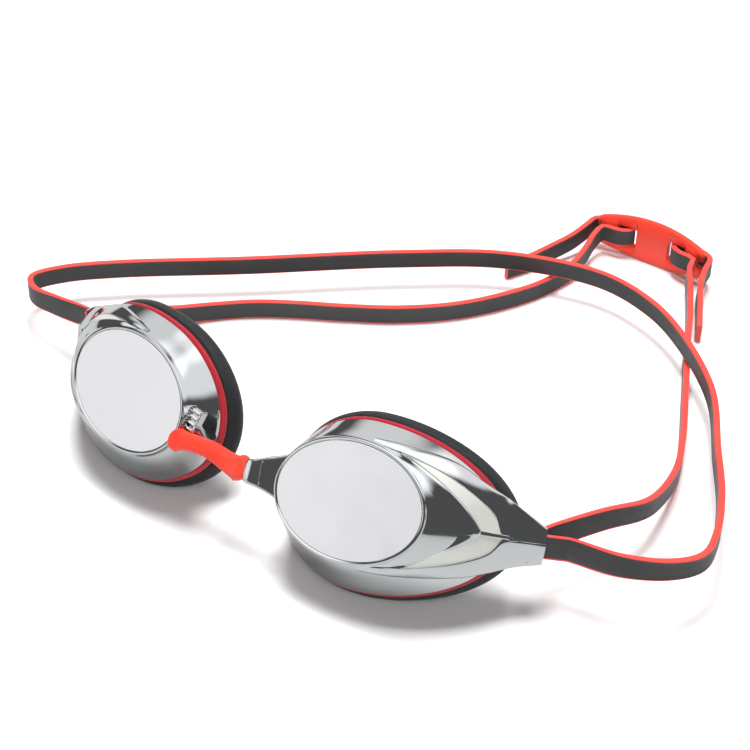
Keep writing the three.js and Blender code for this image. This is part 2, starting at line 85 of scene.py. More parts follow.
# Strap
STRAP = {"width": 5.4, "thick": 1.9, "step": 1.6, "edge": 0.38, "body": 1.62}
LOW = STRAP["width"] / 2 + 0.05      # height of the strap's middle where it stands on the floor
HIGH = LOW + STRAP["width"] + 0.5    # and where it passes over itself
BAR = {"out": 36.6, "back": 23.4, "radius": 1.2, "up": -2.7, "swept": math.radians(45)}
TURN = BAR["radius"] + GAP + STRAP["thick"] / 2
HINGE_Y = 45.0
SOFT = 7.0                # the strap's rear pieces are split off this far behind the hinge line
CLIP = {"x": 19.6, "y": 165.5, "length": 35.0, "height": 13.6, "end_height": 8.4, "thick": 2.0, "sag": 2.2}
WINDOW = {"from_centre": 8.2, "length": 6.0, "height": 6.2}


# ---------- curves ----------

def lerp(a, b, t):
    return a + (b - a) * t


def smoothstep(low, high, value):
    t = min(max((value - low) / (high - low), 0.0), 1.0)
    return t * t * (3 - 2 * t)


def spline(points, steps):
    """Points of a centripetal Catmull-Rom curve, with as many steps between each two given points."""
    p = np.array(points, float)
    p = np.vstack([2 * p[0] - p[1], p, 2 * p[-1] - p[-2]])
    out = []
    for i in range(1, len(p) - 2):
        d0, d1, d2 = (max(np.linalg.norm(p[i + k] - p[i + k - 1]) ** 0.5, 1e-6) for k in range(3))
        m1 = ((p[i] - p[i - 1]) / d0 - (p[i + 1] - p[i - 1]) / (d0 + d1) + (p[i + 1] - p[i]) / d1) * d1
        m2 = ((p[i + 1] - p[i]) / d1 - (p[i + 2] - p[i]) / (d1 + d2) + (p[i + 2] - p[i + 1]) / d2) * d1
        for k in range(steps):
            t = k / steps
            out.append((2 * t**3 - 3 * t**2 + 1) * p[i] + (t**3 - 2 * t**2 + t) * m1
                       + (3 * t**2 - 2 * t**3) * p[i + 1] + (t**3 - t**2) * m2)
    out.append(p[-2])
    return np.array(out)


def along(points, count):
    """The points of a polyline at even distances."""
    p = np.array(points, float)
    run = np.concatenate([[0], np.cumsum(np.linalg.norm(np.diff(p, axis=0), axis=1))])
    at = np.linspace(0, run[-1], count)
    return np.stack([np.interp(at, run, p[:, k]) for k in range(p.shape[1])], axis=1)


# ---------- meshes ----------

def loft(rings, closed=False):
    """Vertices and faces of a skin through rings of points. Unless it closes on itself, its ends are capped."""
    n = len(rings[0])
    verts = [Vector(p) for ring in rings for p in ring]
    faces = []
    spans = len(rings) if closed else len(rings) - 1
    for i in range(spans):
        a, b = i * n, ((i + 1) % len(rings)) * n
        for j in range(n):
            k = (j + 1) % n
            faces.append((a + j, a + k, b + k, b + j))
    if not closed:
        last = (len(rings) - 1) * n
        faces.append(tuple(reversed(range(n))))
        faces.append(tuple(range(last, last + n)))
    return verts, faces


def joined(bodies):
    """Several shapes as one."""
    verts, faces = [], []
    for v, f in bodies:
        start = len(verts)
        verts += list(v)
        faces += [tuple(i + start for i in face) for face in f]
    return verts, faces


def mesh_object(name, shape, materials, sharp=40.0, slot_of=None):
    """Smooth-shaded object in metres from a shape in millimetres, creased where faces meet steeply."""
    verts, faces = shape
    mesh = bpy.data.meshes.new(name)
    mesh.from_pydata([v * MM for v in verts], [], faces)
    for material in materials:
        mesh.materials.append(material)
    bm = bmesh.new()
    bm.from_mesh(mesh)
    bmesh.ops.recalc_face_normals(bm, faces=bm.faces)
    for face in bm.faces:
        face.smooth = True
        if slot_of:
            face.material_index = slot_of(face.index)
    for edge in bm.edges:
        edge.smooth = edge.calc_face_angle(0.0) < math.radians(sharp)
    bm.to_mesh(mesh)
    bm.free()
    obj = bpy.data.objects.new(name, mesh)
    bpy.context.scene.collection.objects.link(obj)
    return obj


# ---------- where the eyecups sit ----------

def cup_turn(side):
    lean = Matrix.Rotation(math.radians(-CUP["lean"]), 3, "X")
    roll = Matrix.Rotation(math.radians(-side * CUP["roll"]), 3, "Y")
    wrap = Matrix.Rotation(math.radians(side * CUP["wrap"]), 3, "Z")
    return wrap @ lean @ roll


def lens_edge(angle, grow=0.0):
    return (LENS["half_width"] + grow) * math.cos(angle), (LENS["half_height"] + grow) * math.sin(angle)


def frame_origin():
    """The goggles' own origin in the frame, found from the low corner of the right lens's box."""
    turn = cup_turn(1)
    centre = Vector((CUP["x"], 0, CUP["z"]))
    steps = 720
    edges = ((-GAP, 0.0), (0.0, GAP), (0.0, LENS["thick"]))
    low = Vector((math.inf, math.inf, math.inf))
    for i in range(steps):
        for grow, back in edges:
            x, z = lens_edge(i * 2 * math.pi / steps, grow)
            low = Vector(map(min, low, turn @ Vector((x, back, z)) + centre))
    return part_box("right_lens")[0] / MM - low


ORIGIN = frame_origin()


def on_cup(side, point):
    """A point of an eyecup's own axes (outward, back, up), in the frame."""
    out, back, up = point
    return ORIGIN + Vector((side * CUP["x"], 0, CUP["z"])) + cup_turn(side) @ Vector((side * out, back, up))


def cup_up(side):
    return cup_turn(side) @ Vector((0, 0, 1))


def place(side, shape):
    verts, faces = shape
    return [on_cup(side, v) for v in verts], faces


def cup_point(angle, mix, grow, inset, back):
    """Point between the lens outline and the seal outline, at an angle round the cup."""
    c, s = math.cos(angle), math.sin(angle)
    x, z = lens_edge(angle, grow)
    across = (SEAL["temple"] if c > 0 else SEAL["nose"]) - inset
    up_down = (SEAL["top"] if s > 0 else SEAL["bottom"]) - inset
    x = lerp(x, SEAL["offset"] + across * c, mix)
    z = lerp(z, up_down * s - SEAL["drop"], mix)
    return Vector((x, back + mix * SEAL["saddle"] * (x / 30) ** 2, z))


def cup_ring(section):
    """Ring round the cup whose section is a list of (mix, grow, inset, back)."""
    angles = [i / RIM_STEPS * 2 * math.pi for i in range(RIM_STEPS)]
    return loft([[cup_point(a, *p) for p in section] for a in angles], closed=True)


# ---------- eyecup ----------

def shell_section():
    """Section of the frame's shell: its rim, the outside down to the seal, and the inside back up."""
    edge = [(0, 0.06, 1.8, 0.6), (0, 0.08, 1.8, 0.2), (0, 0.14, 1.8, 0.12), (0, 0.4, 1.8, 0.0),
            (0, 0.65, 1.8, 0.04), (0, 0.8, 1.8, 0.16), (0, 0.86, 1.8, 0.35)]
    outside = list(map(tuple, spline([(0, 0.9, 1.8, 0.7), (0.5, 1.3, 1.8, 4.2), (1, 1.3, 1.8, 7.0)], 7)))
    inside = [(1, 1.3, 1.95, 7.5), (1, 1.3, 2.2, 7.7), (1, 1.3, 3.3, 7.7), (0.5, -1.5, 3.3, 6.0),
              (0, -1.5, 3.3, 3.4), (0, -1.5, 3.3, 1.9), (0, 0.06, 3.3, 1.9)]
    return edge + outside + inside


def rounded(wide, thick, radius, crown=0.0):
    """Outline of a rounded bar: a crowned front face first, then the back."""
    front = [(lerp(radius, wide - radius, t), -crown * math.sin(math.pi * t)) for t in np.linspace(0, 1, 7)]
    corner = radius * 0.3
    return front + [(wide - corner, corner), (wide, radius), (wide, thick - radius), (wide - radius, thick),
                    (radius, thick), (0, thick - radius), (0, radius), (corner, corner)]


STRUT_STEPS = 7


def strut(stations, steps=STRUT_STEPS, round_edge=0.3, crown=0.15):
    """Rounded bar between two edges. Each station is (inner edge, outer edge, thickness)."""
    run = spline([(*inner, *outer, thick) for inner, outer, thick in stations], steps)
    middles = (run[:, 0:3] + run[:, 3:6]) / 2
    rings = []
    for i, row in enumerate(run):
        inner, outer, thick = Vector(row[0:3]), Vector(row[3:6]), row[6]
        ahead = middles[min(i + 1, len(run) - 1)] - middles[max(i - 1, 0)]
        inward = Vector((-ahead[1], ahead[0], 0)).normalized()
        inward *= math.copysign(1, inward.y)
        wide = (outer - inner).length
        across = (outer - inner).normalized()
        outline = rounded(wide, thick, min(round_edge, wide / 4, thick / 4), min(crown, wide * 0.06))
        rings.append([inner + across * a + inward * b for a, b in outline])
    return loft(rings)


UPPER_STRUT = [
    ((3.0, 0.9, 12.9), (3.2, 1.5, 14.7), 2.4), ((9.9, 1.1, 13.1), (9.6, 2.5, 14.6), 2.6),
    ((16.2, 3.3, 11.5), (15.6, 5.4, 13.9), 2.6), ((21.5, 6.0, 9.3), (21.0, 8.6, 12.5), 2.6),
    ((26.6, 9.5, 5.9), (26.3, 11.5, 9.6), 2.4), ((30.0, 12.3, 2.7), (30.6, 14.2, 7.3), 1.9),
    ((32.2, 13.6, -1.9), (32.8, 15.2, 6.1), 1.5), ((35.5, 15.6, -1.9), (35.2, 16.9, 4.6), 1.5),
    ((40.0, 19.4, -1.9), (39.4, 20.0, 1.8), 1.5),
]
LOWER_STRUT = [
    ((0.0, 0.9, -13.2), (0.3, 1.5, -14.8), 2.4), ((10.1, 1.0, -12.6), (9.8, 2.2, -14.5), 2.6),
    ((18.3, 3.4, -10.9), (18.1, 5.7, -13.5), 2.6), ((25.4, 7.6, -8.3), (25.6, 10.0, -11.9), 2.4),
    ((30.3, 11.6, -5.2), (30.0, 13.7, -10.2), 1.8), ((32.5, 13.6, -1.5), (32.6, 16.2, -8.9), 1.3),
    ((35.5, 15.6, -1.5), (35.1, 18.0, -7.9), 1.3), ((40.0, 19.4, -1.5), (39.3, 20.8, -6.7), 1.3),
]
WING_EDGE = [
    (6.0, 0.8, 13.4), (10.6, 0.9, 12.6), (17.2, 2.2, 9.6), (21.8, 4.0, 6.6), (25.1, 6.0, 3.5),
    (27.9, 8.4, -0.4), (28.2, 8.5, -1.0), (28.1, 8.6, -1.6),
    (24.6, 6.2, -4.9), (20.3, 3.9, -8.0), (14.5, 2.2, -11.6), (9.0, 1.1, -13.2),
]
WING_ANGLES = (math.radians(70), math.radians(-74))   # where it starts and ends round the lens
WING_STEPS = 84
WING_DEPTH = 2.2
PANEL_DEPTH = 0.7         # the pale floor of each window lies this far behind the struts
UPPER_PANEL = [
    ((10.4, 0.6, 12.2), (9.9, 0.8, 13.2), 0.4), ((17.0, 2.3, 9.3), (16.3, 3.2, 11.7), 0.4),
    ((21.6, 4.1, 6.3), (21.6, 5.9, 9.4), 0.4), ((24.9, 6.1, 3.2), (26.7, 9.3, 6.1), 0.4),
    ((27.7, 8.5, -0.5), (30.0, 12.1, 2.8), 0.4), ((28.4, 9.0, -1.2), (32.2, 13.4, -1.2), 0.4),
]
LOWER_PANEL = [
    ((9.0, 0.7, -12.9), (9.6, 0.8, -13.0), 0.4), ((14.5, 1.5, -11.3), (14.5, 1.9, -12.0), 0.4),
    ((20.2, 3.0, -7.7), (18.4, 3.3, -11.1), 0.4), ((24.4, 5.4, -4.7), (25.4, 7.4, -8.4), 0.4),
    ((27.9, 8.4, -1.6), (30.3, 11.4, -5.3), 0.4), ((28.4, 9.0, -1.5), (32.4, 13.3, -1.6), 0.4),
]
WING_PEG = [((26.8, 7.6, -1.7), (26.8, 7.6, -0.4), 1.9), ((33.2, 14.1, -1.9), (33.2, 14.1, -1.0), 1.4)]


def wing():
    """Crescent between the lens rim and the window: hollow across, with a turned-down outer edge."""
    edge = along(spline(WING_EDGE, 8), WING_STEPS)
    rows = []
    for i, point in enumerate(edge):
        t = i / (len(edge) - 1)
        angle = lerp(WING_ANGLES[0], WING_ANGLES[1], t)
        x, z = lens_edge(angle, 0.8)
        inner, outer = Vector((x, 0.75, z)), Vector(point)
        span = (outer - inner).length
        front = []
        for k in range(9):
            f = k / 8
            p = inner.lerp(outer, f)
            p.y += 0.05 * span * math.sin(math.pi * f) * (1 - f)
            front.append(p)
        lip = (outer - inner).normalized() * min(0.25, span * 0.1)
        front.append(outer + lip + Vector((0, 0.12, 0)))
        front.append(outer + lip * 1.5 + Vector((0, 0.45, 0)))
        front.append(outer + lip * 1.2 + Vector((0, WING_DEPTH, 0)))
        front.append(inner + Vector((0, WING_DEPTH, 0)))
        rows.append(front)
    return loft(rows)


def window_panels():
    """Satin floor of the two windows between the wing and the struts."""
    back = Vector((0, PANEL_DEPTH, 0))
    bodies = []
    for panel_stations in (UPPER_PANEL, LOWER_PANEL):
        sunk = [(Vector(inner) + back, Vector(outer) + back, thick) for inner, outer, thick in panel_stations]
        bodies.append(strut(sunk, round_edge=0.05, crown=0.0))
    return joined(bodies)


def by_bar(on, inward, up):
    """A point by the bar: along the way the arm end faces, and inward from it."""
    c, s = math.cos(BAR["swept"]), math.sin(BAR["swept"])
    return Vector((BAR["out"] + on * c - inward * s, BAR["back"] + on * s + inward * c, BAR["up"] + up))


CHEEK = [
    (-3.6, -3.5), (-0.9, -3.5), (0.3, -2.6), (1.5, 0.6), (0.8, 1.6), (-0.8, 1.6), (-1.6, 0.8), (-3.6, -3.0),
]
CHEEK_MIDDLE = (-0.8, -1.4)
CHEEK_LAYERS = ((0.0, 0.88), (0.25, 1.0), (0.75, 1.0), (1.0, 0.88))   # height and how full the outline is
BAR_FACETS = 24


def strap_holder():
    """Cheeks above and below the strap, and the bar behind the arm end that the strap turns round."""
    half_slot = STRAP["width"] / 2 + GAP
    middle_on, middle_inward = CHEEK_MIDDLE
    bodies = []
    for low in (half_slot, -half_slot - 1):
        rings = []
        for up, full in CHEEK_LAYERS:
            rings.append([by_bar(lerp(middle_on, on, full), lerp(middle_inward, inward, full), low + up)
                          for on, inward in CHEEK])
        bodies.append(loft(rings))
    turn = [j * 2 * math.pi / BAR_FACETS for j in range(BAR_FACETS)]
    rings = []
    for k in range(9):
        up = lerp(-half_slot - 0.5, half_slot + 0.5, k / 8)
        rings.append([by_bar(BAR["radius"] * math.cos(a), BAR["radius"] * math.sin(a), up) for a in turn])
    bodies.append(loft(rings))
    return bodies


# Nasal arm, as (outward, lower edge, upper edge, front, thickness)
ARM_STATIONS = [(-17.3, -7.2, 6.8, 5.1, 1.2), (-19.4, -5.2, 5.8, 4.5, 1.2), (-21.4, -4.1, 5.1, 3.9, 1.3),
                (-23.3, -3.4, 4.5, 3.3, 1.5), (-25.2, -2.9, 3.7, 2.8, 1.8), (-27.8, -2.4, 3.0, 2.45, 1.8),
                (-29.8, -1.4, 1.8, 3.9, 1.2)]

SLIM_ARM = 0.55           # height of a slim arm against a full one


def nose_arm(slim):
    """Nasal arm that carries the bridge, with a ridge across it. A slim one hides inside the bridge."""
    keep = SLIM_ARM if slim else 1.0
    stations = ARM_STATIONS[:-1] if slim else ARM_STATIONS
    arm = strut([((out, front, high * keep), (out, front, low * keep), thick)
                 for out, low, high, front, thick in stations], steps=6, crown=0.25)
    ridge = slab((-24.2, 3.1, 0.6), (0.35, 1.0, 5.4))
    return [arm] if slim else [arm, ridge]


def slab(centre, size, bevel=0.12):
    """Small block with softened edges."""
    x, y, z = (s / 2 for s in size)
    rings = []
    for depth, inset in ((-y, bevel), (-y + bevel, 0), (y - bevel, 0), (y, bevel)):
        ring = []
        for cx, cz in ((-1, -1), (1, -1), (1, 1), (-1, 1)):
            for ox, oz in ((0, 1), (1, 0)) if cx * cz > 0 else ((1, 0), (0, 1)):
                px = cx * (x - inset - ox * bevel)
                pz = cz * (z - inset - oz * bevel)
                ring.append(Vector(centre) + Vector((px, depth, pz)))
        rings.append(ring)
    return loft(rings)


def ladder():
    """Adjusting rungs beside the bridge's end on the left cup."""
    rails = [slab((-18.3, 1.9, 4.2), (0.5, 2.2, 5.6)), slab((-21.3, 2.9, 4.2), (0.5, 2.2, 5.6))]
    rungs = [slab((-19.8, 2.3, 1.9 + 1.5 * k), (3.2, 1.8, 0.6)) for k in range(4)]
    return rails + rungs


def edge_points(grow):
    return [lens_edge(i / RIM_STEPS * 2 * math.pi, grow) for i in range(RIM_STEPS)]


def lens_shape():
    """Slightly domed mirror plate."""
    rings = []
    for f in (0.04, 0.2, 0.4, 0.6, 0.78, 0.9, 0.97, 1.0):
        back = 0.02 + LENS["dome"] * f * f
        rings.append([Vector((f * x, back, f * z)) for x, z in edge_points(-0.05)])
    rings.append([Vector((x, 0.35, z)) for x, z in edge_points(0.0)])
    rings.append([Vector((x, LENS["thick"], z)) for x, z in edge_points(0.0)])
    return loft(rings)


def band_shape():
    outer = [(1.8, 8.0), (1.45, 8.1), (1.28, 8.35), (1.22, 8.7), (1.28, 9.05), (1.45, 9.3), (1.8, 9.4)]
    return cup_ring([(1, 0, inset, back) for inset, back in outer + [(4.3, 9.4), (4.3, 8.0)]])


def gasket_shape():
    outline = [(5.1, 9.7), (1.5, 9.7), (0.85, 9.95), (0.4, 10.6), (0.08, 11.6), (0.0, 12.5), (0.22, 13.5),
               (0.85, 14.5), (1.7, 15.5), (2.7, 16.25), (3.5, 16.5), (4.4, 16.45), (5.2, 16.1), (5.6, 15.4),
               (5.5, 14.5), (5.0, 13.7)]
    return cup_ring([(1, 0, inset, back) for inset, back in outline])


# ---------- nose bridge ----------

SQUARENESS = 0.6          # 1 is an ellipse, 0 a rectangle
BRIDGE_FACETS = 32


def bridge_section(centre, high, deep):
    upward = cup_up(1)
    upward = Vector((0, upward.y, upward.z)).normalized()
    across = upward.cross(Vector((1, 0, 0))).normalized()
    ring = []
    for i in range(BRIDGE_FACETS):
        a = i / BRIDGE_FACETS * 2 * math.pi
        c, s = (math.copysign(abs(v) ** SQUARENESS, v) for v in (math.cos(a), math.sin(a)))
        ring.append(centre + upward * (high / 2 * s) + across * (deep / 2 * c))
    return ring


# Stations of the bridge, as (centre, height, depth): on the left cup's axes, the goggles' and the right cup's
BRIDGE_ON_LEFT = [((-18.1, -0.6, -2.0), 5.8, 1.2), ((-19.7, 0.1, -1.5), 5.4, 2.2),
                  ((-22.6, 1.9, -0.5), 4.2, 3.6), ((-27.0, 3.7, 0.4), 4.1, 4.0)]
BRIDGE_MIDDLE = [((-2.2, 0.6, 18.8), 4.7, 4.2), ((1.2, 0.4, 18.8), 5.7, 4.4)]
BRIDGE_ON_RIGHT = [((-29.9, 4.3, 0.3), 6.5, 4.8), ((-28.3, 3.8, 0.4), 6.5, 4.2)]
ROUND_END = ((0.35, 0.0), (0.6, 0.25), (0.8, 0.8), (0.93, 1.6), (1.0, 2.6))   # share of the height, distance in
ROUND_LENGTH = 3.0


def bridge_stations():
    found = [(on_cup(-1, p), high, deep) for p, high, deep in BRIDGE_ON_LEFT]
    found += [(ORIGIN + Vector(p), high, deep) for p, high, deep in BRIDGE_MIDDLE]
    return found + [(on_cup(1, p), high, deep) for p, high, deep in BRIDGE_ON_RIGHT]


def bridge_halves():
    """The bridge in two halves that meet at its middle, each with its outer end rounded."""
    run = spline([(*c, h, d) for c, h, d in bridge_stations()], 8)
    split = min(range(len(run)), key=lambda i: abs(run[i][0] - ORIGIN.x))
    halves = []
    for part, side in ((run[:split + 1], -1), (run[split:][::-1], 1)):
        first, high, deep = Vector(part[0][:3]), part[0][3], part[0][4]
        inward = (Vector(part[1][:3]) - first).normalized()
        rings = [bridge_section(first + inward * back, high * share, deep * max(share, 0.7))
                 for share, back in ROUND_END]
        rings += [bridge_section(Vector(p[:3]), p[3], p[4]) for p in part
                  if (Vector(p[:3]) - first).length > ROUND_LENGTH]
        halves.append((side, loft(rings)))
    return halves, Vector(run[split][:3])


# ---------- head strap ----------

def world(points):
    return [ORIGIN + Vector(p) for p in points]


LEG_START = 4.5           # distance from the bar where the two legs of the strap begin
BACK_LEG_UP = 1.75
LEG_RISE = 0.5            # how the back leg climbs past the front one


STRAIGHT = 1.6            # the strap runs straight this far each side of the turn
TURN_RISE = 0.3           # it has climbed this much by the turn's end
TURN_POINTS = 6


def bar_turn(side):
    """Points round the bar, from the front leg to the back leg."""
    points = [by_bar(STRAIGHT, -TURN, 0)]
    for i in range(TURN_POINTS + 1):
        a = math.radians(90 + 180 / TURN_POINTS * i)
        points.append(by_bar(TURN * math.cos(a), -TURN * math.sin(a), 0))
    points.append(by_bar(STRAIGHT, TURN, TURN_RISE))
    return [on_cup(side, p) for p in points]


def front_leg(side, on):
    return on_cup(side, by_bar(LEG_START + on, -TURN, 0))


def back_leg(side, on):
    return on_cup(side, by_bar(LEG_START + on, TURN, BACK_LEG_UP + LEG_RISE * on))


def clip_back(x):
    return CLIP["y"] - CLIP["sag"] * ((2 * (x - CLIP["x"])) / CLIP["length"]) ** 2


def clip_turn(side):
    """Points of the strap in front of the clip, through its window and back round the end of the clip."""
    reach = CLIP["thick"] / 2 + 2 * GAP + STRAP["thick"] / 2
    turn_x = CLIP["x"] + side * (WINDOW["from_centre"] - WINDOW["length"] / 2 + 1.5)
    over_x = CLIP["x"] + side * (WINDOW["from_centre"] + 3.5)
    end_x = CLIP["x"] + side * CLIP["length"] / 2
    legs = [(end_x - side * 2.7, 0.1 - reach), (over_x, -reach), (turn_x + side * 2.2, 0.2 - reach),
            (turn_x, 0), (turn_x + side * 2.2, reach - 0.2), (over_x, reach),
            (end_x - side * 0.6, reach), (end_x + side * 1.6, reach - 1.4)]
    return world([(x, clip_back(x) + off, CLIP["height"] / 2) for x, off in legs])


# Lengths of the strap, as places of its middle from the goggles' origin
UPPER = [
    (-87.5, 28.5, 12.6), (-98.4, 30.4, 10.8), (-105, 36.4, 9.2), (-102, 45, HIGH), (-92, 56, HIGH),
    (-64, 80.5, HIGH), (-32, 110, HIGH), (-8, 128, HIGH), (18.5, 136, HIGH), (37, 132, HIGH),
    (52, 122.5, HIGH), (69, 106, HIGH), (82, 84, HIGH + 0.6), (91.3, 67.5, 10.6), (97.5, 52.3, 12.4),
    (98.9, 43.2, 13.4), (95.2, 36.2, 14.2), (86.1, 29.8, 14.8),
]
LOWER_LEFT = [
    (-73.2, 38.8, 10), (-72, 46, 6.6), (-68.5, 54, 4), (-62.2, 63.5, LOW), (-54, 71.5, LOW),
    (-44.5, 78.2, LOW), (-34, 84.6, LOW), (-20.5, 94, LOW), (-9.5, 105, LOW), (-1.5, 117.5, LOW),
    (3.8, 130.5, LOW), (5.8, 142, 3.4), (5.3, 150.5, 4.7), (4.3, 157, 6),
]
LOWER_RIGHT = [
    (74.5, 42.6, 13.4), (78.3, 53.8, 10.5), (78, 63.2, 7.6), (75.5, 76.2, 5), (70.3, 89.5, 3.4),
    (60, 110.5, LOW), (51, 128.5, LOW), (45.2, 140.5, LOW + 0.4), (39.5, 151, 4.6), (35.5, 157.8, 6),
]
LEFT_TAIL = [(0, 160, 6.3), (-1.3, 154, 5), (-4.2, 146.5, 3.6), (-7, 138.5, LOW), (-9.6, 131.5, LOW)]
RIGHT_TAIL = [(39.5, 159.5, 6.2), (41.5, 153.2, 4.8), (45.4, 146, 3.4), (50, 137, LOW)]
SPLINE_STEPS = 24


def strap_route():
    """The whole strap as one route, from its left tail to its right tail, and the marked places along it."""
    marks, points = {}, []

    def add(name, more):
        marks[name] = len(points)
        points.extend(more)

    add("left_tail", world(LEFT_TAIL)[::-1])
    add("left_clip_out", clip_turn(-1)[::-1])
    marks["left_clip_in"] = len(points) - 1
    add("lower_left", world(LOWER_LEFT)[::-1])
    add("left_back_leg_far", [back_leg(-1, 2)])
    add("left_back_leg", [back_leg(-1, 0)])
    add("left_turn", bar_turn(-1)[::-1])
    add("left_front_leg", [front_leg(-1, 0), front_leg(-1, 2)])
    add("upper", world(UPPER))
    add("right_front_leg_far", [front_leg(1, 2)])
    add("right_front_leg", [front_leg(1, 0)])
    add("right_turn", bar_turn(1))
    add("right_back_leg", [back_leg(1, 0), back_leg(1, 2)])
    add("lower_right", world(LOWER_RIGHT))
    add("right_clip_in", clip_turn(1))
    add("right_tail", world(RIGHT_TAIL))
    marks["end"] = len(points) - 1
    route = spline(points, SPLINE_STEPS)
    run = np.concatenate([[0], np.cumsum(np.linalg.norm(np.diff(route, axis=0), axis=1))])
    places = {name: run[i * SPLINE_STEPS] for name, i in marks.items()}
    return route, run, places


def crossing(route, run, low, high, limit):
    """Distance along the route, between two distances, where it passes the line y = limit."""
    inside = [i for i in range(1, len(run)) if low < run[i] < high]
    return next(run[i] for i in inside if (route[i - 1][1] - limit) * (route[i][1] - limit) <= 0)


TWIST_LENGTH = 34.0       # the strap turns upright over this length past its bar


def strap_up(places, at):
    """Direction of the strap's width: along the cup near its bar, upright further on."""
    up = Vector((0, 0, 1))
    for name, side in SIDES.items():
        ends = sorted((places[f"{name}_back_leg"], places[f"{name}_front_leg"]))
        away = max(ends[0] - at, at - ends[1], 0.0)
        if away < TWIST_LENGTH:
            up = cup_up(side).lerp(up, smoothstep(0, TWIST_LENGTH, away))
    return up


def strap_section():
    """Section as (across thickness, along width): a red bead at an edge, a sunk grey face, and both again."""
    w, t, e = STRAP["width"] / 2, STRAP["body"] / 2, STRAP["edge"]
    corner = [(t, w - e), (t, w - 0.3), (t - 0.1, w - 0.12), (t - 0.32, w),
              (-t + 0.32, w), (-t + 0.1, w - 0.12), (-t, w - 0.3), (-t, w - e)]
    face = [(-t + 0.06, w - e - 0.12), (-t + 0.03, 0.8), (-t + 0.03, -0.8), (-t + 0.06, -w + e + 0.12)]
    other = [(-s, -u) for s, u in corner + face]
    return corner + face + other


STRAP_SECTION = strap_section()
BEAD_COLUMNS = 7          # columns of faces on each red bead


def strap_piece(name, route, run, places, low, high, materials):
    """The strap between two distances along its route."""
    length = high - low
    count = max(3, round(length / STRAP["step"]))
    rings = []
    for i in range(count + 1):
        at = low + length * i / count
        centre = Vector([np.interp(at, run, route[:, k]) for k in range(3)])
        ahead = Vector([np.interp(min(at + 0.3, run[-1]), run, route[:, k]) for k in range(3)])
        behind = Vector([np.interp(max(at - 0.3, 0), run, route[:, k]) for k in range(3)])
        tangent = (ahead - behind).normalized()
        side = tangent.cross(strap_up(places, at)).normalized()
        up = side.cross(tangent).normalized()
        rings.append([centre + side * s + up * u for s, u in STRAP_SECTION])
    columns = len(STRAP_SECTION)
    half = columns // 2

    def slot_of(face):
        return 0 if (face % columns) % half < BEAD_COLUMNS or face >= count * columns else 1

    return mesh_object(name, loft(rings), materials, slot_of=slot_of)


# ---------- clip ----------

CLIP_STEPS = 70
CLIP_BEVEL = 0.35
CLIP_END_SHRINK = (0.5, 0.15)   # how far the last two sections draw in


def clip_shape():
    """Curved plate, lower towards its ends. Its windows and notches are cut out of it afterwards."""
    rings = []
    for i in range(CLIP_STEPS + 1):
        t = 2 * i / CLIP_STEPS - 1
        x = CLIP["x"] + t * CLIP["length"] / 2
        y, mid = clip_back(x), CLIP["height"] / 2
        from_end = min(i, CLIP_STEPS - i)
        shrink = CLIP_END_SHRINK[from_end] if from_end < len(CLIP_END_SHRINK) else 0.0
        half = (CLIP["height"] - (CLIP["height"] - CLIP["end_height"]) * t * t) / 2 - shrink
        thick, r = CLIP["thick"] / 2 - shrink, CLIP_BEVEL
        outline = [(-thick, -half + r), (-thick + r, -half), (thick - r, -half), (thick, -half + r),
                   (thick, half - r), (thick - r, half), (-thick + r, half), (-thick, half - r)]
        rings.append([ORIGIN + Vector((x, y + d, mid + h)) for d, h in outline])
    return loft(rings)


def cut_away(obj, cutters):
    """Cuts boxes, each (centre, size) in millimetres from the goggles' origin, out of an object."""
    for k, (centre, size) in enumerate(cutters):
        tool = mesh_object(f"cutter_{k}", slab((0, 0, 0), size, bevel=0.5), [])
        tool.location = (ORIGIN + Vector(centre)) * MM
        cut = obj.modifiers.new("cut", "BOOLEAN")
        cut.operation = "DIFFERENCE"
        cut.solver = "EXACT"
        cut.object = tool
        bpy.context.view_layer.update()
        flat = bpy.data.meshes.new_from_object(obj.evaluated_get(bpy.context.evaluated_depsgraph_get()))
        obj.modifiers.remove(cut)
        obj.data = flat
        bpy.data.objects.remove(tool)


# ---------- materials ----------

def principled(name, color, roughness, metallic=0.0):
    material = bpy.data.materials.new(name)
    material.use_nodes = True
    shader = material.node_tree.nodes["Principled BSDF"]
    shader.inputs["Base Color"].default_value = (*color, 1)
    shader.inputs["Roughness"].default_value = roughness
    shader.inputs["Metallic"].default_value = metallic
    return material, material.node_tree, shader


def noise(tree, scale, detail=3.0, rough=0.5):
    coords = tree.nodes.new("ShaderNodeTexCoord")
    texture = tree.nodes.new("ShaderNodeTexNoise")
    texture.inputs["Scale"].default_value = scale
    texture.inputs["Detail"].default_value = detail
    texture.inputs["Roughness"].default_value = rough
    tree.links.new(coords.outputs["Object"], texture.inputs["Vector"])
    return texture.outputs["Fac"]


def ranged(tree, source, low, high):
    """Noise spread between two values."""
    node = tree.nodes.new("ShaderNodeMapRange")
    node.inputs["From Min"].default_value = 0.3
    node.inputs["From Max"].default_value = 0.7
    node.inputs["To Min"].default_value = low
    node.inputs["To Max"].default_value = high
    tree.links.new(source, node.inputs["Value"])
    return node.outputs["Result"]


def tinted(tree, source, dark, light):
    """Colour between two, by noise."""
    mix = tree.nodes.new("ShaderNodeMix")
    mix.data_type = "RGBA"
    mix.inputs[6].default_value = (*dark, 1)
    mix.inputs[7].default_value = (*light, 1)
    tree.links.new(source, mix.inputs["Factor"])
    return mix.outputs[2]


BUMP_DISTANCE = 0.0002


def bumped(tree, shader, source, strength):
    bump = tree.nodes.new("ShaderNodeBump")
    bump.inputs["Strength"].default_value = strength
    bump.inputs["Distance"].default_value = BUMP_DISTANCE
    tree.links.new(source, bump.inputs["Height"])
    tree.links.new(bump.outputs["Normal"], shader.inputs["Normal"])


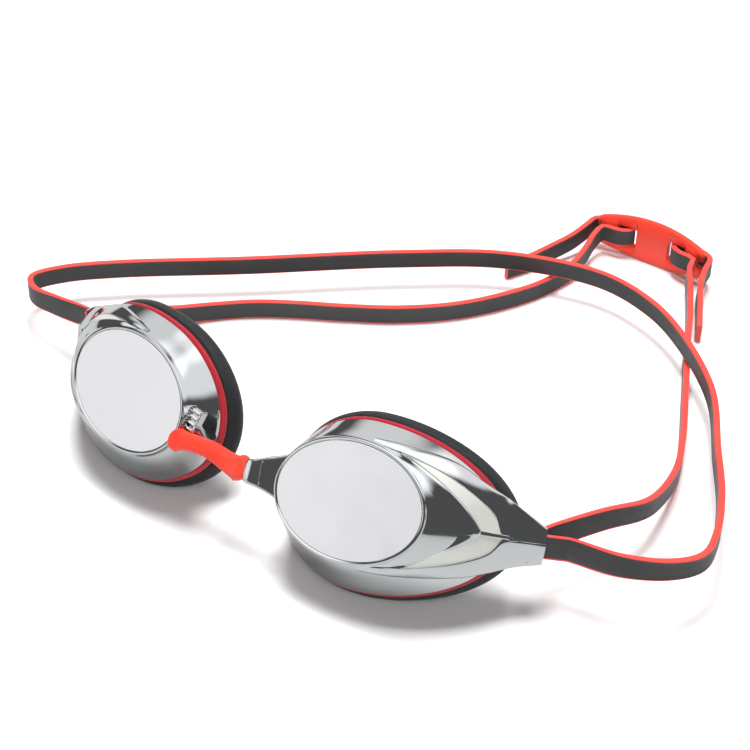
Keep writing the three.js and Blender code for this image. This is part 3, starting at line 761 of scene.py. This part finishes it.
def chrome():
    """Plating with faint smudges and a trace of ripple."""
    material, tree, shader = principled("chrome_plating", (0.80, 0.82, 0.86), 0.06, 1.0)
    smudge = noise(tree, 90, 4)
    tree.links.new(ranged(tree, smudge, 0.03, 0.11), shader.inputs["Roughness"])
    tint = tinted(tree, noise(tree, 25), (0.77, 0.79, 0.815), (0.84, 0.855, 0.87))
    tree.links.new(tint, shader.inputs["Base Color"])
    bumped(tree, shader, noise(tree, 260, 2), 0.04)
    return material


def panel():
    """Unpolished plating in the windows."""
    material, tree, shader = principled("window_panel", (0.78, 0.78, 0.73), 0.38, 0.35)
    tint = tinted(tree, noise(tree, 45), (0.74, 0.74, 0.68), (0.83, 0.83, 0.79))
    tree.links.new(tint, shader.inputs["Base Color"])
    tree.links.new(ranged(tree, noise(tree, 220, 4), 0.32, 0.46), shader.inputs["Roughness"])
    return material


def mirror_lens():
    """Mirror coat, softer than the chrome, under a thin clear layer."""
    material, tree, shader = principled("mirror_lens", (0.82, 0.81, 0.84), 0.2, 0.9)
    tint = tinted(tree, noise(tree, 30, 2), (0.84, 0.83, 0.87), (0.89, 0.89, 0.90))
    tree.links.new(tint, shader.inputs["Base Color"])
    tree.links.new(ranged(tree, noise(tree, 140, 5), 0.17, 0.24), shader.inputs["Roughness"])
    shader.inputs["Coat Weight"].default_value = 0.25
    shader.inputs["Coat Roughness"].default_value = 0.08
    return material


def silicone(name, dark, light, roughness, grain):
    """Moulded silicone: slow colour drift, fine grain, and roughness that varies a little."""
    material, tree, shader = principled(name, light, roughness)
    tree.links.new(tinted(tree, noise(tree, 60), dark, light), shader.inputs["Base Color"])
    grained = ranged(tree, noise(tree, 300, 5), roughness - 0.06, roughness + 0.08)
    tree.links.new(grained, shader.inputs["Roughness"])
    bumped(tree, shader, noise(tree, 1600, 4, 0.65), grain)
    shader.inputs["Sheen Weight"].default_value = 0.12
    shader.inputs["Sheen Roughness"].default_value = 0.4
    return material


def floor_paint_with_painted_reflected_shade():
    """Pale floor, painted darker for reflection rays only: a painted shade, so the chrome's lower walls mirror
    it grey as they would mirror a shadowed floor.
    """
    material, tree, shader = principled("floor", (0.93, 0.93, 0.935), 0.75)
    # reflection rays see the floor in a darker colour: painted shade, not light
    path = tree.nodes.new("ShaderNodeLightPath")
    mix = tree.nodes.new("ShaderNodeMix")
    mix.data_type = "RGBA"
    mix.inputs[7].default_value = (*FLOOR_PAINTED_SHADE_IN_REFLECTIONS, 1)
    tree.links.new(path.outputs["Is Glossy Ray"], mix.inputs["Factor"])
    tree.links.new(tinted(tree, noise(tree, 3), (0.925, 0.925, 0.93), (0.935, 0.935, 0.94)), mix.inputs[6])
    tree.links.new(mix.outputs[2], shader.inputs["Base Color"])
    return material


# ---------- studio ----------

# Soft boxes seen in the chrome: (azimuth, elevation, half angle, softness, brightness), with angles in degrees
SOFT_BOXES = [
    (0, 90, 38, 8, 1.4),
    (-36, 18, 24, 4, 1.04),
    (148, 34, 25, 6, 0.95),
    (-145, 34, 19, 9, 0.8),
]
DARK_ROOM = 0.10          # brightness of the studio between the soft boxes
# colour the floor is painted for reflection rays: painted shade for the chrome's lower walls
FLOOR_PAINTED_SHADE_IN_REFLECTIONS = (0.40, 0.41, 0.405)


def towards(azimuth, elevation):
    """Direction at an azimuth from the front, anticlockwise seen from above, and an elevation, in degrees."""
    a, e = math.radians(azimuth), math.radians(elevation)
    return Vector((math.sin(a) * math.cos(e), -math.cos(a) * math.cos(e), math.sin(e)))


def studio_world():
    """Dark room with soft boxes, and a plain pale backdrop behind the goggles."""
    scene_world = bpy.data.worlds.new("studio")
    scene_world.use_nodes = True
    tree = scene_world.node_tree
    tree.nodes.clear()
    coords = tree.nodes.new("ShaderNodeTexCoord")
    total = None
    for azimuth, elevation, half, soft, bright in SOFT_BOXES:
        aim = tree.nodes.new("ShaderNodeVectorMath")
        aim.operation = "DOT_PRODUCT"
        aim.inputs[1].default_value = towards(azimuth, elevation)
        tree.links.new(coords.outputs["Generated"], aim.inputs[0])
        patch = tree.nodes.new("ShaderNodeMapRange")
        patch.interpolation_type = "SMOOTHSTEP"
        patch.inputs["From Min"].default_value = math.cos(math.radians(half + soft))
        patch.inputs["From Max"].default_value = math.cos(math.radians(half - soft))
        patch.inputs["To Max"].default_value = bright
        tree.links.new(aim.outputs["Value"], patch.inputs["Value"])
        if total is None:
            total = patch.outputs["Result"]
        else:
            add = tree.nodes.new("ShaderNodeMath")
            add.operation = "ADD"
            tree.links.new(total, add.inputs[0])
            tree.links.new(patch.outputs["Result"], add.inputs[1])
            total = add.outputs["Value"]
    base = tree.nodes.new("ShaderNodeMath")
    base.operation = "ADD"
    base.inputs[1].default_value = DARK_ROOM
    tree.links.new(total, base.inputs[0])
    studio = tree.nodes.new("ShaderNodeBackground")
    tree.links.new(base.outputs["Value"], studio.inputs["Strength"])
    backdrop = tree.nodes.new("ShaderNodeBackground")
    backdrop.inputs["Color"].default_value = (0.95, 0.95, 0.955, 1)
    path = tree.nodes.new("ShaderNodeLightPath")
    choose = tree.nodes.new("ShaderNodeMixShader")
    tree.links.new(path.outputs["Is Camera Ray"], choose.inputs["Fac"])
    tree.links.new(studio.outputs["Background"], choose.inputs[1])
    tree.links.new(backdrop.outputs["Background"], choose.inputs[2])
    out = tree.nodes.new("ShaderNodeOutputWorld")
    tree.links.new(choose.outputs["Shader"], out.inputs["Surface"])
    scene_world.cycles_visibility.diffuse = False
    bpy.context.scene.world = scene_world


def aim_light(data, azimuth, elevation, distance):
    """Points a light at the goggles. The chrome doesn't show it: it shows the studio's soft boxes."""
    light = bpy.data.objects.new(data.name, data)
    away = towards(azimuth, elevation)
    light.location = away * distance
    light.rotation_mode = "QUATERNION"
    light.rotation_quaternion = away.to_track_quat("Z", "Y")
    light.visible_glossy = False
    bpy.context.scene.collection.objects.link(light)


def area_light(name, azimuth, elevation, distance, size, power):
    data = bpy.data.lights.new(name, "AREA")
    data.size = size
    data.energy = power
    aim_light(data, azimuth, elevation, distance)


def far_light(name, azimuth, elevation, spread, strength):
    """Light that is as strong everywhere on the floor, from a disc that looks this many degrees wide."""
    data = bpy.data.lights.new(name, "SUN")
    data.angle = math.radians(spread)
    data.energy = strength
    aim_light(data, azimuth, elevation, 1.0)


# Camera, from the goggles' origin in millimetres
EYE = (199.9, -218.7, 260.4)
TARGET = (20.4, 26.7, 38.8)
CAMERA_ROLL = 1.044
FOCAL_LENGTH = 79.2
SENSOR_WIDTH = 36.0


def camera():
    data = bpy.data.cameras.new("camera")
    data.sensor_width = SENSOR_WIDTH
    data.lens = FOCAL_LENGTH
    cam = bpy.data.objects.new("camera", data)
    eye = (ORIGIN + Vector(EYE)) * MM
    target = (ORIGIN + Vector(TARGET)) * MM
    cam.location = eye
    cam.rotation_mode = "QUATERNION"
    roll = Quaternion((0, 0, 1), math.radians(CAMERA_ROLL))
    cam.rotation_quaternion = (target - eye).to_track_quat("-Z", "Y") @ roll
    bpy.context.scene.collection.objects.link(cam)
    bpy.context.scene.camera = cam


FLOOR_HALF = 0.9          # metres
FLOOR_DROP = 0.0002       # the floor lies this far under the goggles


def floor():
    height = CAD_BOX[0].z - FLOOR_DROP
    quarters = ((-1, -1), (1, -1), (1, 1), (-1, 1))
    corners = [Vector((x * FLOOR_HALF, y * FLOOR_HALF, height)) / MM for x, y in quarters]
    obj = mesh_object("floor", (corners, [(0, 1, 2, 3)]), [floor_paint_with_painted_reflected_shade()])


# ---------- assembly ----------

def own(obj, slot, *nodes):
    """Hides the CAD nodes that a piece stands for. The slot argument is not used."""
    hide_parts(*nodes)
    return obj


def eyecup(name, materials):
    """Everything hard or sealed that moves with one eyecup. Only the left one shows its ladder."""
    side = SIDES[name]
    arm = [strut(UPPER_STRUT), strut(LOWER_STRUT), wing(), strut(WING_PEG, crown=0.0)]
    arm += strap_holder() + nose_arm(slim=side < 0)
    if name == "left":
        arm += ladder()
    parts = [
        ("frame", joined([cup_ring(shell_section())] + arm), "chrome"),
        ("window_panels", window_panels(), "panel"),
        ("lens", lens_shape(), "mirror_lens"),
        ("seal_band", band_shape(), "band_red"),
        ("gasket", gasket_shape(), "gasket_black"),
    ]
    for part, shape, finish in parts:
        obj = mesh_object(f"{name}_{part}_shell", place(side, shape), [materials[finish]], sharp=32)
        if finish == "panel":
            own(obj, "chrome", f"{name}_frame")
        else:
            own(obj, finish, f"{name}_{part}")
        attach(obj, f"{name}_cup")


BRIDGE_HELD = (-26.0, 4.4, 0)   # on a cup's axes, near where the bridge meets the cup


def nose_bridge(materials):
    """The bridge in two halves, from each cup to the middle."""
    halves, middle = bridge_halves()
    for side, shape in halves:
        name = "left" if side < 0 else "right"
        obj = mesh_object(f"nose_bridge_{name}_half", shape, [materials["bright_red"]])
        own(obj, "bright_red", "nose_bridge")
        tip = on_cup(side, BRIDGE_HELD) * MM
        if side < 0:
            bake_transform(obj)
        else:
            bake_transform(obj)


NEAR_SHARE = 0.35         # this much of a strap side, from its bar, makes its near piece; the rest makes its far piece
NEAR_BEND = (0.06, 0.9)   # two places along that share, found as points but not used


def strap_sides(places):
    """The four sides of the strap: name, cup, where it leaves the bar and a place past the lift line."""
    middle = places["right_front_leg"] * 0.5 + places["left_front_leg"] * 0.5
    return [
        ("lower_left", "left", places["left_back_leg"], places["lower_left"]),
        ("upper_left", "left", places["left_front_leg"], middle),
        ("upper_right", "right", places["right_front_leg"], middle),
        ("lower_right", "right", places["right_back_leg"], places["right_clip_in"]),
    ]


def strap(materials):
    """The strap in pieces: round the bars, from the cups to the lift line, and behind it."""
    route, run, places = strap_route()
    two = [materials["strap_red"], materials["strap_grey"]]
    line = ORIGIN.y + HINGE_Y + SOFT

    def where(at):
        return Vector([np.interp(at, run, route[:, k]) for k in range(3)]) * MM

    def stretch(name, low, high, nodes):
        return own(strap_piece(name, route, run, places, low, high, two), "strap_silicone", *nodes)

    for name in SIDES:
        turn = sorted((places[f"{name}_back_leg"], places[f"{name}_front_leg"]))
        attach(stretch(f"{name}_turn", *turn, [f"{name}_strap_turn"]), f"{name}_cup")
    rear = {}
    for name, cup, leg, past in strap_sides(places):
        cross = crossing(route, run, min(leg, past), max(leg, past), line)
        rear[name] = cross
        bend = lerp(leg, cross, NEAR_SHARE)
        node = f"strap_{name}_side"
        near = stretch(f"{name}_near", min(leg, bend), max(leg, bend), [node])
        start, end = (where(lerp(leg, bend, share)) for share in NEAR_BEND)
        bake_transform(near)
        far = stretch(f"{name}_far", min(bend, cross), max(bend, cross), [node])
        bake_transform(far)
    pieces = [
        ("left_strap_end", places["left_tail"], places["left_clip_in"], ["strap_left_end"]),
        ("lower_left_rear", places["left_clip_in"], rear["lower_left"], ["strap_lower_left_rear"]),
        ("upper_rear", rear["upper_left"], rear["upper_right"],
         ["strap_upper_rear_left", "strap_upper_rear_right"]),
        ("lower_right_rear", rear["lower_right"], places["right_clip_in"], ["strap_lower_right_rear"]),
        ("right_strap_end", places["right_clip_in"], places["end"], ["strap_right_end"]),
    ]
    for name, low, high, nodes in pieces:
        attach(stretch(name, low, high, nodes), "strap")


NOTCH = {"length": 6.0, "height": 2.6, "past_end": 0.5}
CUT_DEPTH = {"window": 12, "notch": 8}


def strap_clip(materials):
    """The clip, with a window on each side of its middle and a notch in each end."""
    obj = mesh_object("clip_plate", clip_shape(), [materials["bright_red"]], sharp=50)
    x, y, mid = CLIP["x"], CLIP["y"], CLIP["height"] / 2
    window_size = (WINDOW["length"], CUT_DEPTH["window"], WINDOW["height"])
    notch_size = (NOTCH["length"], CUT_DEPTH["notch"], NOTCH["height"])
    notch_from = CLIP["length"] / 2 + NOTCH["past_end"]
    windows = [((x + side * WINDOW["from_centre"], y, mid), window_size) for side in (-1, 1)]
    notches = [((x + side * notch_from, y - CLIP["sag"], mid), notch_size) for side in (-1, 1)]
    cut_away(obj, windows + notches)
    own(obj, "bright_red", "strap_clip")
    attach(obj, "strap")


def main():
    bpy.context.scene.view_settings.view_transform = "Standard"
    camera()
    studio_world()
    area_light("overhead", 215, 80, 1.2, 0.5, 23)
    far_light("front_fill", 35, 38, 40, 1.3)
    floor()
    materials = {
        "chrome": chrome(),
        "panel": panel(),
        "mirror_lens": mirror_lens(),
        "band_red": silicone("band_red", (0.34, 0.014, 0.024), (0.46, 0.026, 0.038), 0.42, 0.05),
        "gasket_black": silicone("gasket_black", (0.011, 0.012, 0.014), (0.019, 0.02, 0.023), 0.5, 0.08),
        "bright_red": silicone("bright_red", (0.86, 0.045, 0.022), (0.95, 0.065, 0.035), 0.4, 0.05),
        "strap_grey": silicone("strap_grey", (0.035, 0.035, 0.037), (0.055, 0.055, 0.057), 0.5, 0.08),
        "strap_red": silicone("strap_red", (0.75, 0.06, 0.045), (0.85, 0.085, 0.07), 0.45, 0.05),
    }
    for name in SIDES:
        eyecup(name, materials)
    nose_bridge(materials)
    strap(materials)
    strap_clip(materials)


main()
